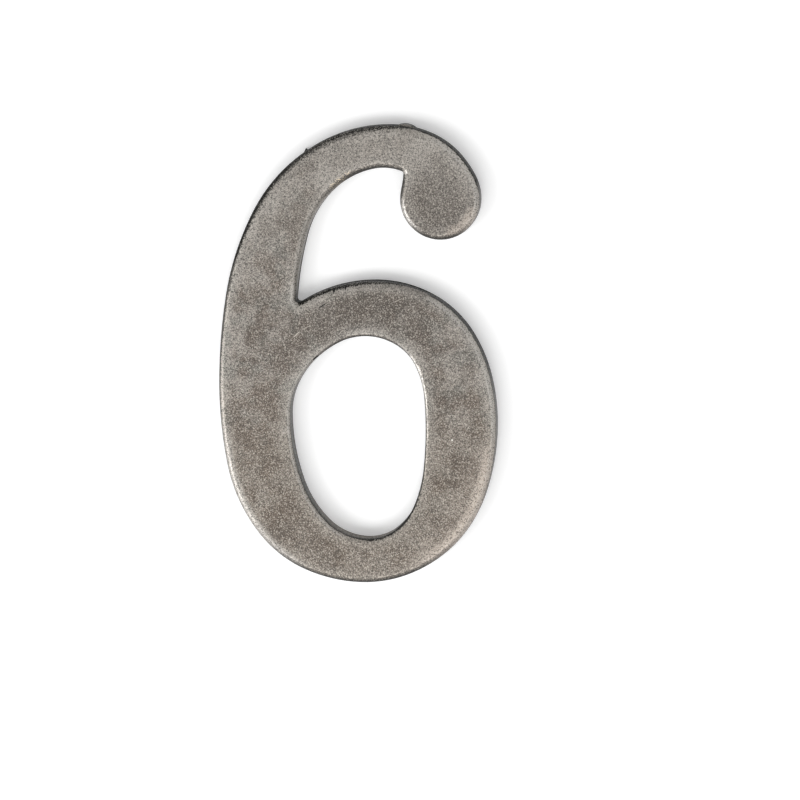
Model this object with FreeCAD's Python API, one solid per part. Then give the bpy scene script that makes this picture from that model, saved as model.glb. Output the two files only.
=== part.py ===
import FreeCAD, Part
import math, os
from FreeCAD import Vector

# Magnetic house number: a flat cast metal figure six with a ball terminal, and three disc magnets let into
# its back. Millimetres. X runs to the reader's right, Z up and Y into the door, so the figure faces -Y.
# The origin lies on the flat back, half way across the width, on the bar that closes the bowl.
# Heights are given above the foot.
origin_height = 42.0

# Overall size of the casting
numeral_height = 70.0
numeral_width = 42.4
thickness = 3.0
front_edge_radius = 1.0
counter_edge_radius = 0.6

# Widths of the stroke, each where it is named for
stem_width = 10.95
bowl_side_width = 10.7
foot_thickness = 6.8
bar_thickness = 8.3
arch_thickness = 6.9

# How far the arch's crown stands above the top of the bowl
arch_rise = 23.5

# Heights at which the outline and the counter reach furthest left and right
outline_left_height = 29.9
outline_right_height = 24.7
counter_left_height = 25.8
counter_right_height = 24.1

# How far right of the middle the highest and lowest points of each curve lie
crown_offset = 5.0
foot_offset = 0.6
bowl_top_offset = 3.0
counter_offset = 1.5

# Crotch where the stem's inner side meets the bar, from the left edge and below the bowl's top
crotch_inset = 11.8
crotch_drop = 3.95
crotch_radius = 0.5

# Ball terminal: its place below the crown and in from the right edge, and the neck's corner beside it
terminal_diameter = 12.0
terminal_drop = 11.0
terminal_setback = 2.65
neck_step = 0.5
neck_radius = 0.45

# How closely each quarter round holds to its corner where it sets out and where it arrives;
# 0.55 at both ends is an ellipse
hold_terminal_to_crown = (0.24, 0.76)
hold_crown_to_left = (0.76, 0.48)
hold_left_to_foot = (0.70, 0.59)
hold_foot_to_right = (0.32, 0.81)
hold_right_to_bowl_top = (0.39, 0.79)
hold_counter_top_to_right = (0.91, 0.45)
hold_counter_right_to_foot = (0.51, 0.80)
hold_counter_foot_to_left = (0.92, 0.14)
hold_counter_left_to_top = (0.54, 0.43)

# The stem's inner side and the neck: the slope at each end, and how far the curve keeps to it
stem_crotch_slope = Vector(0.052, 0, 0.999)
stem_crotch_reach = 22.4
arch_neck_slope = Vector(0.923, 0, -0.384)
arch_neck_reach = 2.9
neck_reach = 1.5

# Pairs of tangent arcs that each curve is cut with
arc_pairs = 2

# Stub of the casting gate, filed down but still proud of the top edge
gate_offset = 7.5
gate_width = 2.6
gate_proud = 0.35
gate_depth = 1.6

# Disc magnets, and the room for adhesive round each in its pocket
magnet_diameter = 8.0
magnet_thickness = 1.5
magnet_chamfer = 0.2
pocket_clearance = 0.1

left_edge = -numeral_width / 2
right_edge = numeral_width / 2
bowl_height = numeral_height - arch_rise
terminal_radius = terminal_diameter / 2
terminal_x = right_edge - terminal_setback - terminal_radius
terminal_height = numeral_height - terminal_drop
forward = Vector(0, -1, 0)
across = Vector(1, 0, 0)
upwards = Vector(0, 0, 1)


def point(x, height):
    """A point on the flat back, from the middle of the width and from the foot."""
    return Vector(x, 0, height - origin_height)


def arc(start, corner, end):
    """The arc whose tangents at both ends meet in the corner."""
    middle = (start + end) / 2
    share = middle.distanceToPoint(end) / corner.distanceToPoint(end)
    return Part.Arc(start, middle + (corner - middle) * share / (1 + share), end).toShape()


def arc_pair(start, heading, end, end_heading):
    """Two arcs that run into each other, from one point and heading to another."""
    span = end - start
    slope = 2 * span.dot(heading + end_heading)
    turn = 8 * (1 - heading.dot(end_heading)) * span.dot(span)
    reach = 2 * span.dot(span) / (slope + math.sqrt(slope ** 2 + turn))
    first_corner = start + heading * reach
    last_corner = end - end_heading * reach
    meeting = (first_corner + last_corner) / 2
    return [arc(start, first_corner, meeting), arc(meeting, last_corner, end)]


def swing(start, first_handle, last_handle, end):
    """A smooth curve drawn by two handles and cut as pairs of tangent arcs."""
    curve = Part.BezierCurve()
    curve.setPoles([start, first_handle, last_handle, end])
    arcs = []
    for pair in range(arc_pairs):
        here = pair / arc_pairs
        there = (pair + 1) / arc_pairs
        heading = curve.tangent(here)[0]
        end_heading = curve.tangent(there)[0]
        arcs += arc_pair(curve.value(here), heading, curve.value(there), end_heading)
    return arcs


def quarter_from_level(start, end, hold):
    """A quarter turn that leaves start level and reaches end upright."""
    corner = Vector(end.x, 0, start.z)
    return swing(start, start + (corner - start) * hold[0], end + (corner - end) * hold[1], end)


def quarter_from_upright(start, end, hold):
    """A quarter turn that leaves start upright and reaches end level."""
    corner = Vector(start.x, 0, end.z)
    return swing(start, start + (corner - start) * hold[0], end + (corner - end) * hold[1], end)


def bar_top(bowl_top, crotch):
    """The bar's upper side: one arc, level at the bowl's top, that runs down into the crotch."""
    run = bowl_top.x - crotch.x
    drop = bowl_top.z - crotch.z
    reach = (run ** 2 + drop ** 2) / (2 * run)
    return [arc(bowl_top, bowl_top - across * reach, crotch)]


def crotch_corner():
    return point(left_edge + crotch_inset, bowl_height - crotch_drop)


def neck_corner():
    return point(terminal_x - terminal_radius + neck_step, numeral_height - arch_thickness)


def top_edge():
    """The outer edge from the ball's right side up to the crown."""
    ball_right = point(terminal_x + terminal_radius, terminal_height)
    return quarter_from_upright(ball_right, point(crown_offset, numeral_height), hold_terminal_to_crown)


def outline():
    """The outer edge: from the crown down the left, round the bowl, into the crotch, round the ball."""
    crown = point(crown_offset, numeral_height)
    left = point(left_edge, outline_left_height)
    foot = point(foot_offset, 0)
    right = point(right_edge, outline_right_height)
    bowl_top = point(bowl_top_offset, bowl_height)
    crotch = crotch_corner()
    neck = neck_corner()
    ball_left = point(terminal_x - terminal_radius, terminal_height)
    ball_foot = point(terminal_x, terminal_height - terminal_radius)
    ball_right = point(terminal_x + terminal_radius, terminal_height)
    edges = quarter_from_level(crown, left, hold_crown_to_left)
    edges += quarter_from_upright(left, foot, hold_left_to_foot)
    edges += quarter_from_level(foot, right, hold_foot_to_right)
    edges += quarter_from_upright(right, bowl_top, hold_right_to_bowl_top)
    edges += bar_top(bowl_top, crotch)
    stem_handle = crotch + stem_crotch_slope * stem_crotch_reach
    arch_handle = neck - arch_neck_slope * arch_neck_reach
    edges += swing(crotch, stem_handle, arch_handle, neck)
    edges += swing(neck, neck - upwards * neck_reach, ball_left + upwards * neck_reach, ball_left)
    edges += [Part.Arc(ball_left, ball_foot, ball_right).toShape()]
    edges += top_edge()
    return Part.Wire(edges)


def counter():
    """The closed opening in the bowl."""
    top = point(counter_offset, bowl_height - bar_thickness)
    right = point(right_edge - bowl_side_width, counter_right_height)
    bottom = point(counter_offset, foot_thickness)
    left = point(left_edge + stem_width, counter_left_height)
    edges = quarter_from_level(top, right, hold_counter_top_to_right)
    edges += quarter_from_upright(right, bottom, hold_counter_right_to_foot)
    edges += quarter_from_level(bottom, left, hold_counter_foot_to_left)
    edges += quarter_from_upright(left, top, hold_counter_left_to_top)
    return Part.Wire(edges)


def corner_edge(solid, corner):
    """The edge that runs through the thickness at a corner of the outline."""
    through = Part.makeLine(corner, corner + forward * thickness)
    return min(solid.Edges, key=lambda edge: edge.CenterOfMass.distanceToPoint(through.CenterOfMass))


def front_face(solid):
    """The flat face that the reader sees."""
    return max(solid.Faces, key=lambda face: face.CenterOfMass.dot(forward))


def counter_rim(solid):
    """The edges of the front face round the counter."""
    front = front_face(solid)
    return [edge for wire in front.Wires if not wire.isSame(front.OuterWire) for edge in wire.Edges]


def gate_stub():
    """A low lens-shaped lump on the top edge, flush with the back."""
    above = point(gate_offset, numeral_height + gate_proud)
    root = Part.Wire(top_edge()).distToShape(Part.Vertex(above))[1][0][0]
    outward = (above - root).normalize()
    stub_radius = ((gate_width / 2) ** 2 + gate_proud ** 2) / (2 * gate_proud)
    return Part.makeCylinder(stub_radius, gate_depth, root + outward * (gate_proud - stub_radius), forward)


def magnet_places():
    """Where each magnet sits: in the ball, and half way across the stroke on each side of the counter."""
    return {
        "terminal_magnet": point(terminal_x, terminal_height),
        "stem_magnet": point(left_edge + stem_width / 2, counter_left_height),
        "bowl_magnet": point(right_edge - bowl_side_width / 2, counter_right_height),
    }


def numeral():
    """The casting: a plate with rounded front edges, a filed gate stub and three blind pockets."""
    plate = Part.Face(outline()).extrude(forward * thickness)
    plate = plate.cut(Part.Face(counter()).extrude(forward * thickness))
    plate = plate.makeFillet(crotch_radius, [corner_edge(plate, crotch_corner())])
    plate = plate.makeFillet(neck_radius, [corner_edge(plate, neck_corner())])
    plate = plate.makeFillet(front_edge_radius, front_face(plate).OuterWire.Edges)
    plate = plate.makeFillet(counter_edge_radius, counter_rim(plate))
    plate = plate.fuse(gate_stub())
    for place in magnet_places().values():
        pocket = Part.makeCylinder(magnet_diameter / 2 + pocket_clearance, magnet_thickness, place, forward)
        plate = plate.cut(pocket)
    return plate.Solids[0]


def magnet(place):
    """A disc with chamfered rims, seated on its pocket's floor and flush with the back."""
    disc = Part.makeCylinder(magnet_diameter / 2, magnet_thickness, place, forward)
    rims = [edge for edge in disc.Edges if len(edge.Vertexes) == 1]
    return disc.makeChamfer(magnet_chamfer, rims)


os.makedirs("parts", exist_ok=True)
numeral().exportStep("parts/numeral.step")
for name, place in magnet_places().items():
    magnet(place).exportStep("parts/" + name + ".step")
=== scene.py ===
import math

import bpy
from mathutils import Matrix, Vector
from mathutils.bvhtree import BVHTree


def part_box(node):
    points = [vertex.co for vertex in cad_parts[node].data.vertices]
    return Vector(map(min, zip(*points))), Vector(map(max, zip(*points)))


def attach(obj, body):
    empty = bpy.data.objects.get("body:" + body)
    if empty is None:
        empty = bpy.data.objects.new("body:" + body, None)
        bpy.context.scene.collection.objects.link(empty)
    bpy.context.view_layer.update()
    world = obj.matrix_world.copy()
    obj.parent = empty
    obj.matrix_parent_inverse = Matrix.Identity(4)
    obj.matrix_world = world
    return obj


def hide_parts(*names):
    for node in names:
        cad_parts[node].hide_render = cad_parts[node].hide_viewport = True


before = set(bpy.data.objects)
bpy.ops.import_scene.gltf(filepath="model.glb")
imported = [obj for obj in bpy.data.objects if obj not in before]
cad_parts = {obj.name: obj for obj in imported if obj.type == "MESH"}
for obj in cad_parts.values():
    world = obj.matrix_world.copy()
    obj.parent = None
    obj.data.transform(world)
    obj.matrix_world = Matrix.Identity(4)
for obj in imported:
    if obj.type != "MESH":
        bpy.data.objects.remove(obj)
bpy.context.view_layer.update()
bpy.ops.object.select_all(action="DESELECT")

# The figure six: one casting in zinc alloy, flat at the back and rounded at the front edges. It is plated,
# darkened to look like old pewter and then tumbled, and the metal is rubbed paler just inside its edges. The
# black on the walls that look up and the dark line along the foot of the rounding are partly that dark finish
# and partly painted shade.
millimetre = 0.001
merge_distance = 0.001 * millimetre
cell = 0.5 * millimetre
wall_lean = 0.05
pocket_depth = 1.5 * millimetre
past_pockets = 1.1 * pocket_depth
counter_middle = Vector((0.5, 0, -20)) * millimetre
counter_reach = Vector((10.6, 0, 16.5)) * millimetre
smooth_below = math.radians(40)

casting = bpy.data.objects.new("pewter_six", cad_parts["numeral"].data.copy())
bpy.context.scene.collection.objects.link(casting)
casting.select_set(True)
bpy.context.view_layer.objects.active = casting
bpy.ops.object.mode_set(mode="EDIT")
bpy.ops.mesh.select_all(action="SELECT")
bpy.ops.mesh.remove_doubles(threshold=merge_distance)
bpy.ops.mesh.customdata_custom_splitnormals_clear()
bpy.ops.object.mode_set(mode="OBJECT")

# The outer walls and the counter's walls are kept as they are now, to measure from.
corners = [vertex.co.copy() for vertex in casting.data.vertices]
outer_walls = []
counter_walls = []
for face in casting.data.polygons:
    is_upright = abs(face.normal.y) < wall_lean
    is_through = min(corners[index].y for index in face.vertices) < -past_pockets
    if is_upright and is_through:
        offset = face.center - counter_middle
        in_counter = abs(offset.x) < counter_reach.x and abs(offset.z) < counter_reach.z
        looks_in = face.normal.dot(offset) < 0
        walls = counter_walls if in_counter and looks_in else outer_walls
        walls.append(tuple(face.vertices))
outer_edge = BVHTree.FromPolygons(corners, outer_walls)
counter_edge = BVHTree.FromPolygons(corners, counter_walls)

# The flat faces are cut into small cells, so that the wear can follow the edges.
lowest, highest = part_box("numeral")
bpy.ops.object.mode_set(mode="EDIT")
for axis in (0, 2):
    direction = Vector((0, 0, 0))
    direction[axis] = 1
    for step in range(1, math.ceil((highest[axis] - lowest[axis]) / cell)):
        bpy.ops.mesh.select_all(action="SELECT")
        cut = lowest + direction * cell * step
        bpy.ops.mesh.bisect(plane_co=cut, plane_no=direction, threshold=merge_distance)

# One burr of flash is left on the back edge at the upper left of the arch. The edge is cut finely beside it,
# so that it stays narrow.
burr_root = Vector((-8.0, 0, 24.0)) * millimetre
burr_move = Vector((-0.12, 0, 0.36)) * millimetre
burr_half_width = 0.14 * millimetre
burr_spread = 0.1 * millimetre
for offset in (-burr_half_width, 0, burr_half_width):
    bpy.ops.mesh.select_all(action="SELECT")
    cut = burr_root + Vector((offset, 0, 0))
    bpy.ops.mesh.bisect(plane_co=cut, plane_no=(1, 0, 0), threshold=merge_distance)
bpy.ops.mesh.select_mode(type="VERT")
bpy.ops.mesh.select_all(action="DESELECT")
bpy.ops.object.mode_set(mode="OBJECT")
min(casting.data.vertices, key=lambda vertex: (vertex.co - burr_root).length).select = True
bpy.ops.object.mode_set(mode="EDIT")
bpy.ops.transform.translate(
    value=burr_move,
    use_proportional_edit=True,
    proportional_edit_falloff="SHARP",
    proportional_size=burr_spread,
)
bpy.ops.object.mode_set(mode="OBJECT")
bpy.ops.object.shade_smooth_by_angle(angle=smooth_below)

# How far each point lies from the nearest edge in millimetres, and whether that is the counter's.
from_edge = casting.data.attributes.new("from_edge", "FLOAT", "POINT")
by_counter = casting.data.attributes.new("by_counter", "FLOAT", "POINT")
for vertex in casting.data.vertices:
    beside = Vector((vertex.co.x, -pocket_depth, vertex.co.z))
    to_outer = outer_edge.find_nearest(beside)[3]
    to_counter = counter_edge.find_nearest(beside)[3]
    from_edge.data[vertex.index].value = min(to_outer, to_counter) / millimetre
    by_counter.data[vertex.index].value = 1.0 if to_counter < to_outer else 0.0


def put(tree, kind, inputs=None, **settings):
    """One shader node, with its settings, and each input filled by a value or by another node's output."""
    node = tree.nodes.new("ShaderNode" + kind)
    for name, value in settings.items():
        setattr(node, name, value)
    for name, value in (inputs or {}).items():
        if isinstance(value, bpy.types.NodeSocket):
            tree.links.new(value, node.inputs[name])
        else:
            node.inputs[name].default_value = value
    return node


def maths(tree, operation, first, second=0.0):
    return put(tree, "Math", {0: first, 1: second}, operation=operation).outputs[0]


def ramp(tree, value, low, high, at_low=0.0, at_high=1.0):
    """A soft step of a value between two levels."""
    steps = {"Value": value, "From Min": low, "From Max": high, "To Min": at_low, "To Max": at_high}
    return put(tree, "MapRange", steps, interpolation_type="SMOOTHSTEP").outputs["Result"]


def within(tree, mask, outside_it, inside_it):
    """One level outside a mask and another inside it."""
    return ramp(tree, mask, 0.0, 1.0, outside_it, inside_it)


def both(tree, *masks):
    """Where all the masks overlap."""
    share = masks[0]
    for mask in masks[1:]:
        share = maths(tree, "MULTIPLY", share, mask)
    return share


def either(tree, *masks):
    """Where any of the masks lies."""
    share = masks[0]
    for mask in masks[1:]:
        share = maths(tree, "MAXIMUM", share, mask)
    return share


def paint(tree, share, under, over):
    """One colour laid over another where the share says."""
    layer = put(tree, "Mix", {0: share, 7: over}, data_type="RGBA")
    if isinstance(under, bpy.types.NodeSocket):
        tree.links.new(under, layer.inputs[6])
    else:
        layer.inputs[6].default_value = under
    return layer.outputs[2]


def noise(tree, points, spacing, detail, roughness):
    """Noise whose grains lie one spacing apart."""
    steps = {"Vector": points, "Scale": 1 / spacing, "Detail": detail, "Roughness": roughness}
    return put(tree, "TexNoise", steps).outputs["Fac"]


def vector(tree, operation, first, second=(0, 0, 0)):
    return put(tree, "VectorMath", {0: first, 1: second}, operation=operation).outputs[0]


def share_of(tree, first, second):
    """How far one direction points the way of another."""
    return put(tree, "VectorMath", {0: first, 1: second}, operation="DOT_PRODUCT").outputs["Value"]


def distance_from(tree, points, middle):
    """How far each point lies from a middle, in millimetres."""
    apart = put(tree, "VectorMath", {0: points, 1: middle}, operation="DISTANCE").outputs["Value"]
    return maths(tree, "DIVIDE", apart, millimetre)


def new_group(name, inputs):
    """A named group that makes a mask from a Vector and from number inputs."""
    group = bpy.data.node_groups.new(name, "ShaderNodeTree")
    group.interface.new_socket("Vector", in_out="INPUT", socket_type="NodeSocketVector")
    for socket, value in inputs.items():
        made = group.interface.new_socket(socket, in_out="INPUT", socket_type="NodeSocketFloat")
        made.default_value = value
    group.interface.new_socket("Mask", in_out="OUTPUT", socket_type="NodeSocketFloat")
    return group, group.nodes.new("NodeGroupInput").outputs, group.nodes.new("NodeGroupOutput").inputs["Mask"]


def mask_from(tree, group, **inputs):
    """A group placed in a material with its own values."""
    node = tree.nodes.new("ShaderNodeGroup")
    node.node_tree = group
    for name, value in inputs.items():
        if isinstance(value, bpy.types.NodeSocket):
            tree.links.new(value, node.inputs[name])
        else:
            node.inputs[name].default_value = value
    return node.outputs["Mask"]


# Cloudy patches in the finish.
patches, given, result = new_group("soft_patches", {"Spacing": 5.0, "Low": 0.4, "High": 0.6})
density = maths(patches, "DIVIDE", 1 / millimetre, given["Spacing"])
cloud = {"Vector": given["Vector"], "Scale": density, "Detail": 3.0, "Roughness": 0.55}
cloud = put(patches, "TexNoise", cloud).outputs["Fac"]
patches.links.new(ramp(patches, cloud, given["Low"], given["High"]), result)

# One knock or scratch, an ellipse with a soft edge at a place on the face.
soft_edge = (0.32, 0.14)
inputs = {"Across": 0.0, "Up": 0.0, "Turn": 0.0, "Length": 1.0, "Width": 0.2}
knock, given, result = new_group("one_knock", inputs)
middle = put(knock, "CombineXYZ", {"X": given["Across"], "Z": given["Up"]}).outputs[0]
local = {"Vector": vector(knock, "SUBTRACT", given["Vector"], middle), "Angle": given["Turn"]}
local = put(knock, "VectorRotate", local, rotation_type="Y_AXIS").outputs[0]
local = put(knock, "SeparateXYZ", {0: local}).outputs
along = maths(knock, "DIVIDE", local["X"], given["Length"])
aside = maths(knock, "DIVIDE", local["Z"], given["Width"])
reach = maths(knock, "ADD", maths(knock, "MULTIPLY", along, along), maths(knock, "MULTIPLY", aside, aside))
knock.links.new(ramp(knock, reach, *soft_edge), result)


def mark(tree, points, place, length, width, turn):
    """A knock placed on the face: its middle, length and width in millimetres, and its turn in degrees."""
    across, up = place
    size = {"Length": length * millimetre, "Width": width * millimetre, "Turn": math.radians(turn)}
    return mask_from(tree, knock, Vector=points, Across=across * millimetre, Up=up * millimetre, **size)


pewter = bpy.data.materials.new("antique_pewter")
pewter.use_nodes = True
tree = pewter.node_tree
shader = tree.nodes["Principled BSDF"]
where = put(tree, "TexCoord").outputs
points = where["Object"]
place = put(tree, "SeparateXYZ", {0: points}).outputs
rightwards = maths(tree, "DIVIDE", place["X"], millimetre)
depth = maths(tree, "DIVIDE", place["Y"], millimetre)
height = maths(tree, "DIVIDE", place["Z"], millimetre)
inwards = put(tree, "Attribute", attribute_name="from_edge").outputs["Fac"]
at_counter = put(tree, "Attribute", attribute_name="by_counter").outputs["Fac"]
outside = ramp(tree, at_counter, 0.6, 0.4)

# Which way the edge looks, and how far the surface has turned to the front. The black, partly dark finish
# and partly painted shade, reaches furthest on the edges that look up and to the left.
looking = vector(tree, "NORMALIZE", vector(tree, "MULTIPLY", where["Normal"], (1, 0, 1)))
looks = put(tree, "SeparateXYZ", {0: looking}).outputs
up_left_share = share_of(tree, looking, (-0.6, 0, 0.8))
front = maths(tree, "MULTIPLY", put(tree, "SeparateXYZ", {0: where["Normal"]}).outputs["Y"], -1.0)

# The tumbled surface has a fine grain and coarser crumbs.
grain_spacing = 0.18 * millimetre
crumb_spacing = 0.45 * millimetre
grain_depth = 0.02 * millimetre
grain = noise(tree, points, grain_spacing, detail=2.0, roughness=0.7)
crumb = noise(tree, points, crumb_spacing, detail=3.0, roughness=0.7)

# The metal's own colours, tints of worn edges and of painted highlights, and greys and black partly of
# painted shade.
pale_grey = (0.350, 0.328, 0.299, 1)
pale_warm = (0.245, 0.218, 0.188, 1)
warm_brown = (0.128, 0.103, 0.084, 1)
red_brown = (0.123, 0.096, 0.074, 1)
cool_grey = (0.152, 0.153, 0.139, 1)
deep_brown = (0.083, 0.069, 0.058, 1)
pit_grey = (0.050, 0.046, 0.041, 1)
rubbed_metal = (0.46, 0.425, 0.375, 1)
old_gold = (0.66, 0.55, 0.38, 1)
pale_highlight = (0.80, 0.78, 0.75, 1)
warm_highlight = (0.60, 0.52, 0.45, 1)
bright_speck = (0.9, 0.88, 0.82, 1)
wall_grey = (0.135, 0.135, 0.128, 1)
line_grey = (0.030, 0.028, 0.025, 1)
patina_and_shade_black = (0.015, 0.015, 0.014, 1)

# Zones of the finish, each with where it begins and where it is full, in millimetres: the bar, the ball and
# the mouth between ball and stem by the distance from their middles, the arch and the bowl by height.
bar_middle = Vector((1, 0, -1)) * millimetre
ball_middle = Vector((12.5, 0, 16)) * millimetre
mouth_middle = Vector((1, 0, 12)) * millimetre
by_bar = ramp(tree, distance_from(tree, points, bar_middle), 17.0, 5.0)
by_ball = ramp(tree, distance_from(tree, points, ball_middle), 10.5, 4.0)
in_mouth = ramp(tree, distance_from(tree, points, mouth_middle), 14.5, 13.0)
up_high = ramp(tree, height, 2.0, 18.0)
down_low = ramp(tree, height, -6.0, -24.0)

# The face: pale at the edges and up in the arch, browner in the middle of the stroke and lower down, clouded.
# Along the stem's inner side and round the ball the brown runs out to the edge.
broad = mask_from(tree, patches, Vector=points, Spacing=13.0, Low=0.36, High=0.64)
middling = mask_from(tree, patches, Vector=points, Spacing=4.2, Low=0.36, High=0.62)
small = mask_from(tree, patches, Vector=points, Spacing=2.6, Low=0.46, High=0.66)
by_stem = both(tree, in_mouth, ramp(tree, rightwards, -4.0, -8.0, 0.0, 0.9))
by_stem = both(tree, by_stem, ramp(tree, height, 3.0, 9.0), ramp(tree, inwards, 0.4, 1.1))
mid_stroke = ramp(tree, inwards, 0.3, 2.6, 0.0, 0.95)
mid_stroke = either(tree, mid_stroke, by_stem, maths(tree, "MULTIPLY", by_ball, 0.75))
pale = paint(tree, down_low, pale_grey, pale_warm)
brown = paint(tree, down_low, warm_brown, red_brown)
colour = paint(tree, both(tree, mid_stroke, within(tree, middling, 0.45, 1.0)), pale, brown)
colour = paint(tree, both(tree, small, within(tree, down_low, 0.5, 0.15)), colour, cool_grey)
colour = paint(tree, both(tree, up_high, ramp(tree, by_stem, 0.0, 0.9, 0.75, 0.3)), colour, pale_grey)
colour = paint(tree, both(tree, broad, within(tree, middling, 0.1, 0.4)), colour, deep_brown)
darker = maths(tree, "MULTIPLY", either(tree, by_bar, by_ball), 0.65)
colour = paint(tree, both(tree, darker, mid_stroke), colour, deep_brown)

# The rounding is rubbed pale, less in the mouth and on the edges that look down. Where it looks left a
# painted highlight lies in bright specks, most of all in the counter and on the ball, and where it looks
# right a weaker painted highlight. On the edges that look down a painted shade of deep brown lies over the
# rounding.
fine_crumb = maths(tree, "ADD", maths(tree, "MULTIPLY", crumb, 0.5), maths(tree, "MULTIPLY", grain, 0.45))
rough_front = maths(tree, "ADD", front, maths(tree, "SUBTRACT", fine_crumb, 0.475))
on_rounding = both(tree, ramp(tree, rough_front, 0.35, 0.6), ramp(tree, front, 0.998, 0.93))
left_highlight = both(tree, ramp(tree, looks["X"], -0.2, -0.6), ramp(tree, looks["Z"], 0.15, -0.2))
left_highlight = both(tree, left_highlight, on_rounding, ramp(tree, looks["Z"], -0.97, -0.8))
bared = either(tree, ramp(tree, at_counter, 0.4, 0.6, 0.18, 0.5), maths(tree, "MULTIPLY", by_ball, 0.6))
left_highlight = both(tree, left_highlight, bared, ramp(tree, grain, 0.42, 0.6, 0.45, 1.6))
right_highlight = both(tree, on_rounding, ramp(tree, looks["X"], 0.2, 0.6), within(tree, in_mouth, 0.25, 0.0))
downward = ramp(tree, looks["Z"], -0.5, -0.85)
rubbed = both(tree, on_rounding, within(tree, downward, 1.0, 0.2), within(tree, in_mouth, 0.3, 0.08))
colour = paint(tree, rubbed, colour, rubbed_metal)
colour = paint(tree, right_highlight, colour, pale_highlight)
colour = paint(tree, left_highlight, colour, pale_highlight)
colour = paint(tree, both(tree, downward, ramp(tree, front, 0.9995, 0.95, 0.0, 0.65)), colour, deep_brown)

# Down both sides of the bowl and on the lower right of the ball a painted highlight runs from the rounding on
# to the face. Each side has the middle that it is seen from and its reach in millimetres, the way it lies
# from there with where that begins and is full, how far in from the edge the highlight ends and is full, its
# colour and its strength.
side_fade = 2
highlight_sides = {
    "right of the counter": ((0.5, -20), 24, (0.80, -0.60), (0.72, 0.96), (6.0, 1.5), warm_highlight, 0.16),
    "right of the bowl": ((0.5, -20), 24, (0.87, -0.5), (0.80, 0.96), (2.2, 1.1), warm_highlight, 0.5),
    "left of the bowl": ((0.5, -20), 24, (-0.87, -0.5), (0.72, 0.92), (1.7, 0.8), pale_highlight, 0.25),
    "ball": ((12.5, 16), 7, (0.80, -0.60), (0.70, 0.95), (2.2, 1.1), warm_highlight, 0.45),
}
for highlight_side in highlight_sides.values():
    (across, up), reach, (right, above), (begins, full), (ends, full_in), tint, strength = highlight_side
    middle = (across * millimetre, 0, up * millimetre)
    outwards = vector(tree, "MULTIPLY", vector(tree, "SUBTRACT", points, middle), (1, 0, 1))
    outwards = vector(tree, "NORMALIZE", outwards)
    side = ramp(tree, share_of(tree, outwards, (right, 0, above)), begins, full)
    near = ramp(tree, distance_from(tree, points, middle), reach + side_fade, reach)
    side = both(tree, side, outside, near)
    band = both(tree, ramp(tree, inwards, ends, full_in), ramp(tree, rough_front, 0.35, 0.6), side)
    colour = paint(tree, maths(tree, "MULTIPLY", band, strength), colour, tint)

# The wall and the flat back are grey. In the mouth and at the counter's foot the wall is almost as pale as
# the face.
in_shade = either(tree, outside, ramp(tree, looks["Z"], 0.8, 0.4, 0.2, 1.0))
in_shade = both(tree, in_shade, within(tree, in_mouth, 1.0, 0.25))
colour = paint(tree, both(tree, ramp(tree, rough_front, 0.30, 0.14), in_shade), colour, wall_grey)
on_back = ramp(tree, front, -0.4, -0.8)
colour = paint(tree, on_back, colour, wall_grey)

# The fine speckle of the tumbled surface, dark in its pits and bright on its tips, with a few golden specks
# under the arch.
colour = paint(tree, ramp(tree, grain, 0.50, 0.36, 0.0, 0.85), colour, pit_grey)
colour = paint(tree, ramp(tree, grain, 0.53, 0.66, 0.0, 0.75), colour, rubbed_metal)
gilt = mark(tree, points, (-2.4, 19.8), length=4.2, width=1.2, turn=38)
colour = paint(tree, both(tree, gilt, ramp(tree, grain, 0.53, 0.64, 0.0, 0.8)), colour, old_gold)

# Thin dark lines of painted shade: under the edges that look down and down the left, a painted contact shadow
# at the back, and at the foot of the rounding a line that is partly dark patina and partly painted shade.
under = both(tree, ramp(tree, rough_front, 0.95, 0.72), ramp(tree, looks["Z"], -0.6, -0.95))
line_reach = maths(tree, "ADD", rough_front, ramp(tree, looks["Z"], -0.1, 0.2, 0.2, 0.0))
left_line = both(tree, ramp(tree, line_reach, 0.95, 0.8), ramp(tree, looks["X"], -0.4, -0.75))
left_line = both(tree, left_line, ramp(tree, looks["Z"], -0.25, 0.05, 0.3, 1.0))
foot_line = both(tree, ramp(tree, rough_front, 0.02, 0.16), ramp(tree, rough_front, 0.44, 0.28))
foot_line = both(tree, foot_line, ramp(tree, looks["Z"], -0.2, 0.5, 0.35, 1.0))
foot_line = both(tree, foot_line, within(tree, in_mouth, 1.0, 0.2))
line_depth = maths(tree, "ADD", depth, within(tree, in_mouth, -0.25, 0.3))
line_depth = maths(tree, "ADD", line_depth, maths(tree, "MULTIPLY", crumb, 0.5))
back_line = both(tree, ramp(tree, line_depth, -0.7, -0.3), ramp(tree, front, 0.3, 0.1))
back_line = both(tree, back_line, either(tree, outside, ramp(tree, looks["Z"], 0.6, 0.2)))
back_line = both(tree, back_line, within(tree, in_mouth, 0.75, 0.95))
lines = either(tree, maths(tree, "MULTIPLY", under, 0.95), maths(tree, "MULTIPLY", left_line, 0.85))
lines = either(tree, lines, maths(tree, "MULTIPLY", foot_line, 0.9), back_line)
lines = both(tree, lines, within(tree, on_back, 1.0, 0.0))
colour = paint(tree, lines, colour, line_grey)

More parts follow.
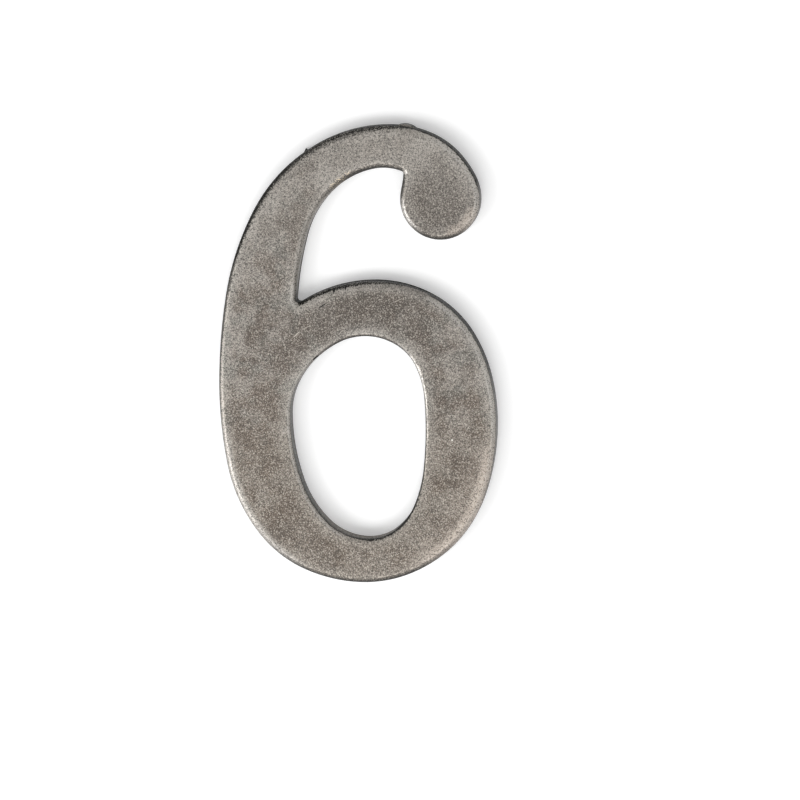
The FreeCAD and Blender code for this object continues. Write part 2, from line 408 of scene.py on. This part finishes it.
# The black, partly dark finish and partly painted shade, reaches further over the rounding the more the edge
# looks up and to the left, and high up also on the right. It is rubbed off the gate's stub, and inside the
# counter it fades towards the back.
over_rounding = ramp(tree, up_left_share, 0.45, 0.92, 0.12, 1.02)
over_rounding = both(tree, over_rounding, ramp(tree, at_counter, 0.4, 0.6, 1.0, 0.9))
over_rounding = both(tree, over_rounding, ramp(tree, height, 6.0, 9.0, 0.79, 1.0))
over_rounding = either(tree, over_rounding, ramp(tree, height, 8.0, 12.0, 0.0, 0.5))
below = maths(tree, "SUBTRACT", over_rounding, rough_front)
stub = mark(tree, points, (7.6, 28.25), length=2.6, width=0.6, turn=0)
black = both(tree, ramp(tree, below, -0.08, 0.08), ramp(tree, looks["Z"], 0.05, 0.35))
black = both(tree, black, ramp(tree, front, 0.9995, 0.985), ramp(tree, front, 0.75, 0.985, 1.0, 0.6))
black = both(tree, black, either(tree, outside, ramp(tree, depth, -1.2, -2.3)), within(tree, stub, 1.0, 0.15))
black = both(tree, black, ramp(tree, grain, 0.63, 0.51, 0.35, 1.0))
colour = paint(tree, black, colour, patina_and_shade_black)

# Knocks and scratches on the face: middle, length, width, turn in degrees, colour and strength.
knocks = {
    "dark scratch by the crotch": ((-5.1, 0.8), 1.4, 0.22, 33, patina_and_shade_black, 0.95),
    "light scratch on the bar": ((-2.6, -0.7), 1.3, 0.15, 20, rubbed_metal, 0.5),
    "light scratch on the stem": ((-9.1, -3.7), 1.4, 0.16, 44, rubbed_metal, 0.9),
    "second scratch beside it": ((-7.6, -2.6), 1.6, 0.13, 28, rubbed_metal, 0.6),
    "first nick in the bar's upper edge": ((-3.3, 3.3), 1.1, 0.3, 78, patina_and_shade_black, 1.0),
    "second nick in the bar's upper edge": ((-1.6, 3.7), 1.1, 0.3, 82, patina_and_shade_black, 1.0),
    "nick in the counter's edge": ((-6.2, -7.2), 1.2, 0.28, 40, patina_and_shade_black, 1.0),
    "bright speck on the bowl": ((14.6, -19.3), 0.25, 0.25, 0, bright_speck, 0.8),
    "pale scratch on the bar": ((6.3, 1.8), 1.6, 0.14, 26, rubbed_metal, 0.6),
}
for spot, length, width, turn, tint, strength in knocks.values():
    damage = mark(tree, points, spot, length, width, turn)
    colour = paint(tree, both(tree, damage, ramp(tree, front, 0.2, 0.4, 0.0, strength)), colour, tint)

tree.links.new(colour, shader.inputs["Base Color"])
tree.links.new(either(tree, within(tree, lines, 0.65, 0.0), black), shader.inputs["Metallic"])
shine = ramp(tree, grain, 0.35, 0.65, 0.55, 0.38)
matt = either(tree, maths(tree, "MULTIPLY", lines, 0.9), maths(tree, "MULTIPLY", black, 0.6))
tree.links.new(either(tree, shine, matt), shader.inputs["Roughness"])
bumps = maths(tree, "ADD", grain, maths(tree, "MULTIPLY", crumb, 1.5))
relief = put(tree, "Bump", {"Height": bumps, "Strength": 0.6, "Distance": grain_depth})
tree.links.new(relief.outputs[0], shader.inputs["Normal"])
casting.data.materials.clear()
casting.data.materials.append(pewter)
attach(casting, "root")
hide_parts("numeral")

# The three disc magnets, pressed from sintered powder and plated with nickel. They are glued into the
# pockets in the back and lie flush with it, lightly scratched and a little tarnished.
bright_nickel = (0.68, 0.66, 0.62, 1)
tarnished_nickel = (0.47, 0.44, 0.39, 1)
scratched_nickel = (0.85, 0.84, 0.8, 1)
scratch_fade = 0.05
scratch_depth = 0.003 * millimetre

# Fine straight scratches that all run one way.
inputs = {"Turn": 0.0, "Spacing": 1.1, "Stretch": 0.06, "Above": 0.66}
scratches, given, result = new_group("fine_scratches", inputs)
turned = {"Vector": given["Vector"], "Angle": given["Turn"]}
turned = put(scratches, "VectorRotate", turned, rotation_type="Y_AXIS").outputs[0]
stretch = put(scratches, "CombineXYZ", {"X": 1.0, "Y": 1.0, "Z": given["Stretch"]}).outputs[0]
drawn = vector(scratches, "MULTIPLY", turned, stretch)
density = maths(scratches, "DIVIDE", 1 / millimetre, given["Spacing"])
line = put(scratches, "TexNoise", {"Vector": drawn, "Scale": density, "Detail": 1.0}).outputs["Fac"]
clear_above = maths(scratches, "ADD", given["Above"], scratch_fade)
scratches.links.new(ramp(scratches, line, given["Above"], clear_above), result)

nickel = bpy.data.materials.new("nickel_plating")
nickel.use_nodes = True
tree = nickel.node_tree
shader = tree.nodes["Principled BSDF"]
points = put(tree, "TexCoord").outputs["Object"]
tarnish = mask_from(tree, patches, Vector=points, Spacing=3.0, Low=0.45, High=0.7)
rubs = mask_from(tree, scratches, Vector=points, Turn=0.5, Spacing=0.5, Stretch=0.05, Above=0.6)
cross_rubs = mask_from(tree, scratches, Vector=points, Turn=-0.9, Spacing=0.7, Stretch=0.04, Above=0.64)
scratched = either(tree, rubs, cross_rubs)
colour = paint(tree, maths(tree, "MULTIPLY", tarnish, 0.6), bright_nickel, tarnished_nickel)
colour = paint(tree, maths(tree, "MULTIPLY", scratched, 0.35), colour, scratched_nickel)
tree.links.new(colour, shader.inputs["Base Color"])
shader.inputs["Metallic"].default_value = 1.0
dulled = maths(tree, "MULTIPLY", scratched, 0.15)
tree.links.new(maths(tree, "ADD", within(tree, tarnish, 0.16, 0.34), dulled), shader.inputs["Roughness"])
relief = put(tree, "Bump", {"Height": scratched, "Strength": 0.4, "Distance": scratch_depth})
tree.links.new(relief.outputs[0], shader.inputs["Normal"])
for name in ("terminal_magnet", "stem_magnet", "bowl_magnet"):
    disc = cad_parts[name]
    disc.data.materials.clear()
    disc.data.materials.append(nickel)

# The white sheet that the figure is shown against stands just behind its back. It takes the soft shadow
# round the figure, and from behind it doesn't show.
sheet_gap = 0.05 * millimetre
sheet_size = 1.0
sheet_white = 0.92
sheet_glow = 0.25
upright = (math.radians(90), 0, 0)
bpy.ops.mesh.primitive_plane_add(size=sheet_size, location=(0, sheet_gap, 0), rotation=upright)
sheet = bpy.context.active_object
sheet.name = "white_sheet"
bpy.ops.object.transform_apply(location=True, rotation=True, scale=True)
sheet.visible_shadow = False
sheet.visible_diffuse = False
paper = bpy.data.materials.new("white_paper")
paper.use_nodes = True
tree = paper.node_tree
tree.nodes.clear()
lit = put(tree, "BsdfDiffuse", {"Color": (sheet_white, sheet_white, sheet_white, 1)})
rays = put(tree, "LightPath").outputs
seen = either(tree, rays["Is Camera Ray"], rays["Is Glossy Ray"], rays["Is Transmission Ray"])
glow = put(tree, "Emission", {"Strength": maths(tree, "MULTIPLY", seen, sheet_glow)})
shown = put(tree, "AddShader", {0: lit.outputs[0], 1: glow.outputs[0]})
unseen = put(tree, "BsdfTransparent")
from_behind = put(tree, "NewGeometry").outputs["Backfacing"]
sides = put(tree, "MixShader", {0: from_behind, 1: shown.outputs[0], 2: unseen.outputs[0]})
put(tree, "OutputMaterial", {"Surface": sides.outputs[0]})
sheet.data.materials.append(paper)

# A plain pale floor, far enough below the figure to be out of the camera's view. It shows from behind, where
# the sheet doesn't.
floor_drop = 0.9
floor_size = 6.0
floor_white = 0.85
floor_roughness = 0.9
bpy.ops.mesh.primitive_plane_add(size=floor_size, location=(0, 0, -floor_drop))
floor = bpy.context.active_object
floor.name = "pale_floor"
bpy.ops.object.transform_apply(location=True, rotation=True, scale=True)
screed = bpy.data.materials.new("pale_screed")
screed.use_nodes = True
shader = screed.node_tree.nodes["Principled BSDF"]
shader.inputs["Base Color"].default_value = (floor_white, floor_white, floor_white, 1)
shader.inputs["Roughness"].default_value = floor_roughness
floor.data.materials.append(screed)

# Plain soft studio light: white all round, three broad lamps on the left, on the right and below in front,
# and a small one that catches the rounding. Each lamp has its place and size in metres and its watts.
room_level = 0.42
lamps = {
    "left_lamp": ((-0.75, -0.56, -0.36), 0.6, 4.6),
    "right_lamp": ((0.63, -0.70, -0.34), 0.5, 1.2),
    "low_lamp": ((-0.19, -0.78, -0.6), 0.7, 3.7),
    "edge_lamp": ((0.17, -0.81, -0.46), 0.2, 0.45),
}
world = bpy.data.worlds.new("studio")
world.use_nodes = True
tree = world.node_tree
rays = put(tree, "LightPath").outputs
seen = either(tree, rays["Is Camera Ray"], rays["Is Glossy Ray"], rays["Is Transmission Ray"])
background = tree.nodes["Background"]
background.inputs["Color"].default_value = (1, 1, 1, 1)
tree.links.new(within(tree, seen, room_level, 1.0), background.inputs["Strength"])
bpy.context.scene.world = world
for name, (place, size, watts) in lamps.items():
    bpy.ops.object.light_add(type="AREA", location=place)
    lamp = bpy.context.active_object
    lamp.name = name
    lamp.rotation_mode = "QUATERNION"
    lamp.rotation_quaternion = (-Vector(place)).to_track_quat("-Z", "Y")
    lamp.data.shape = "DISK"
    lamp.data.size = size
    lamp.data.energy = watts
bpy.context.scene.view_settings.view_transform = "Standard"

# The camera stands half a metre in front, a little to the right and above. It aims low on the figure and to
# its right, so that the figure stands in the upper left of the picture.
azimuth = math.radians(7.8)
elevation = math.radians(10.7)
distance = 503.6 * millimetre
aim = Vector((6.52, -1.94, -13.55)) * millimetre
lens_length = 150
sensor_width = 36
nearest_seen = 10 * millimetre
level_back = Vector((math.sin(azimuth), -math.cos(azimuth), 0))
back = level_back * math.cos(elevation) + Vector((0, 0, math.sin(elevation)))
bpy.ops.object.camera_add(location=aim + back * distance, rotation=(math.pi / 2 - elevation, 0, azimuth))
camera = bpy.context.active_object
camera.data.lens = lens_length
camera.data.sensor_width = sensor_width
camera.data.clip_start = nearest_seen
bpy.context.scene.camera = camera
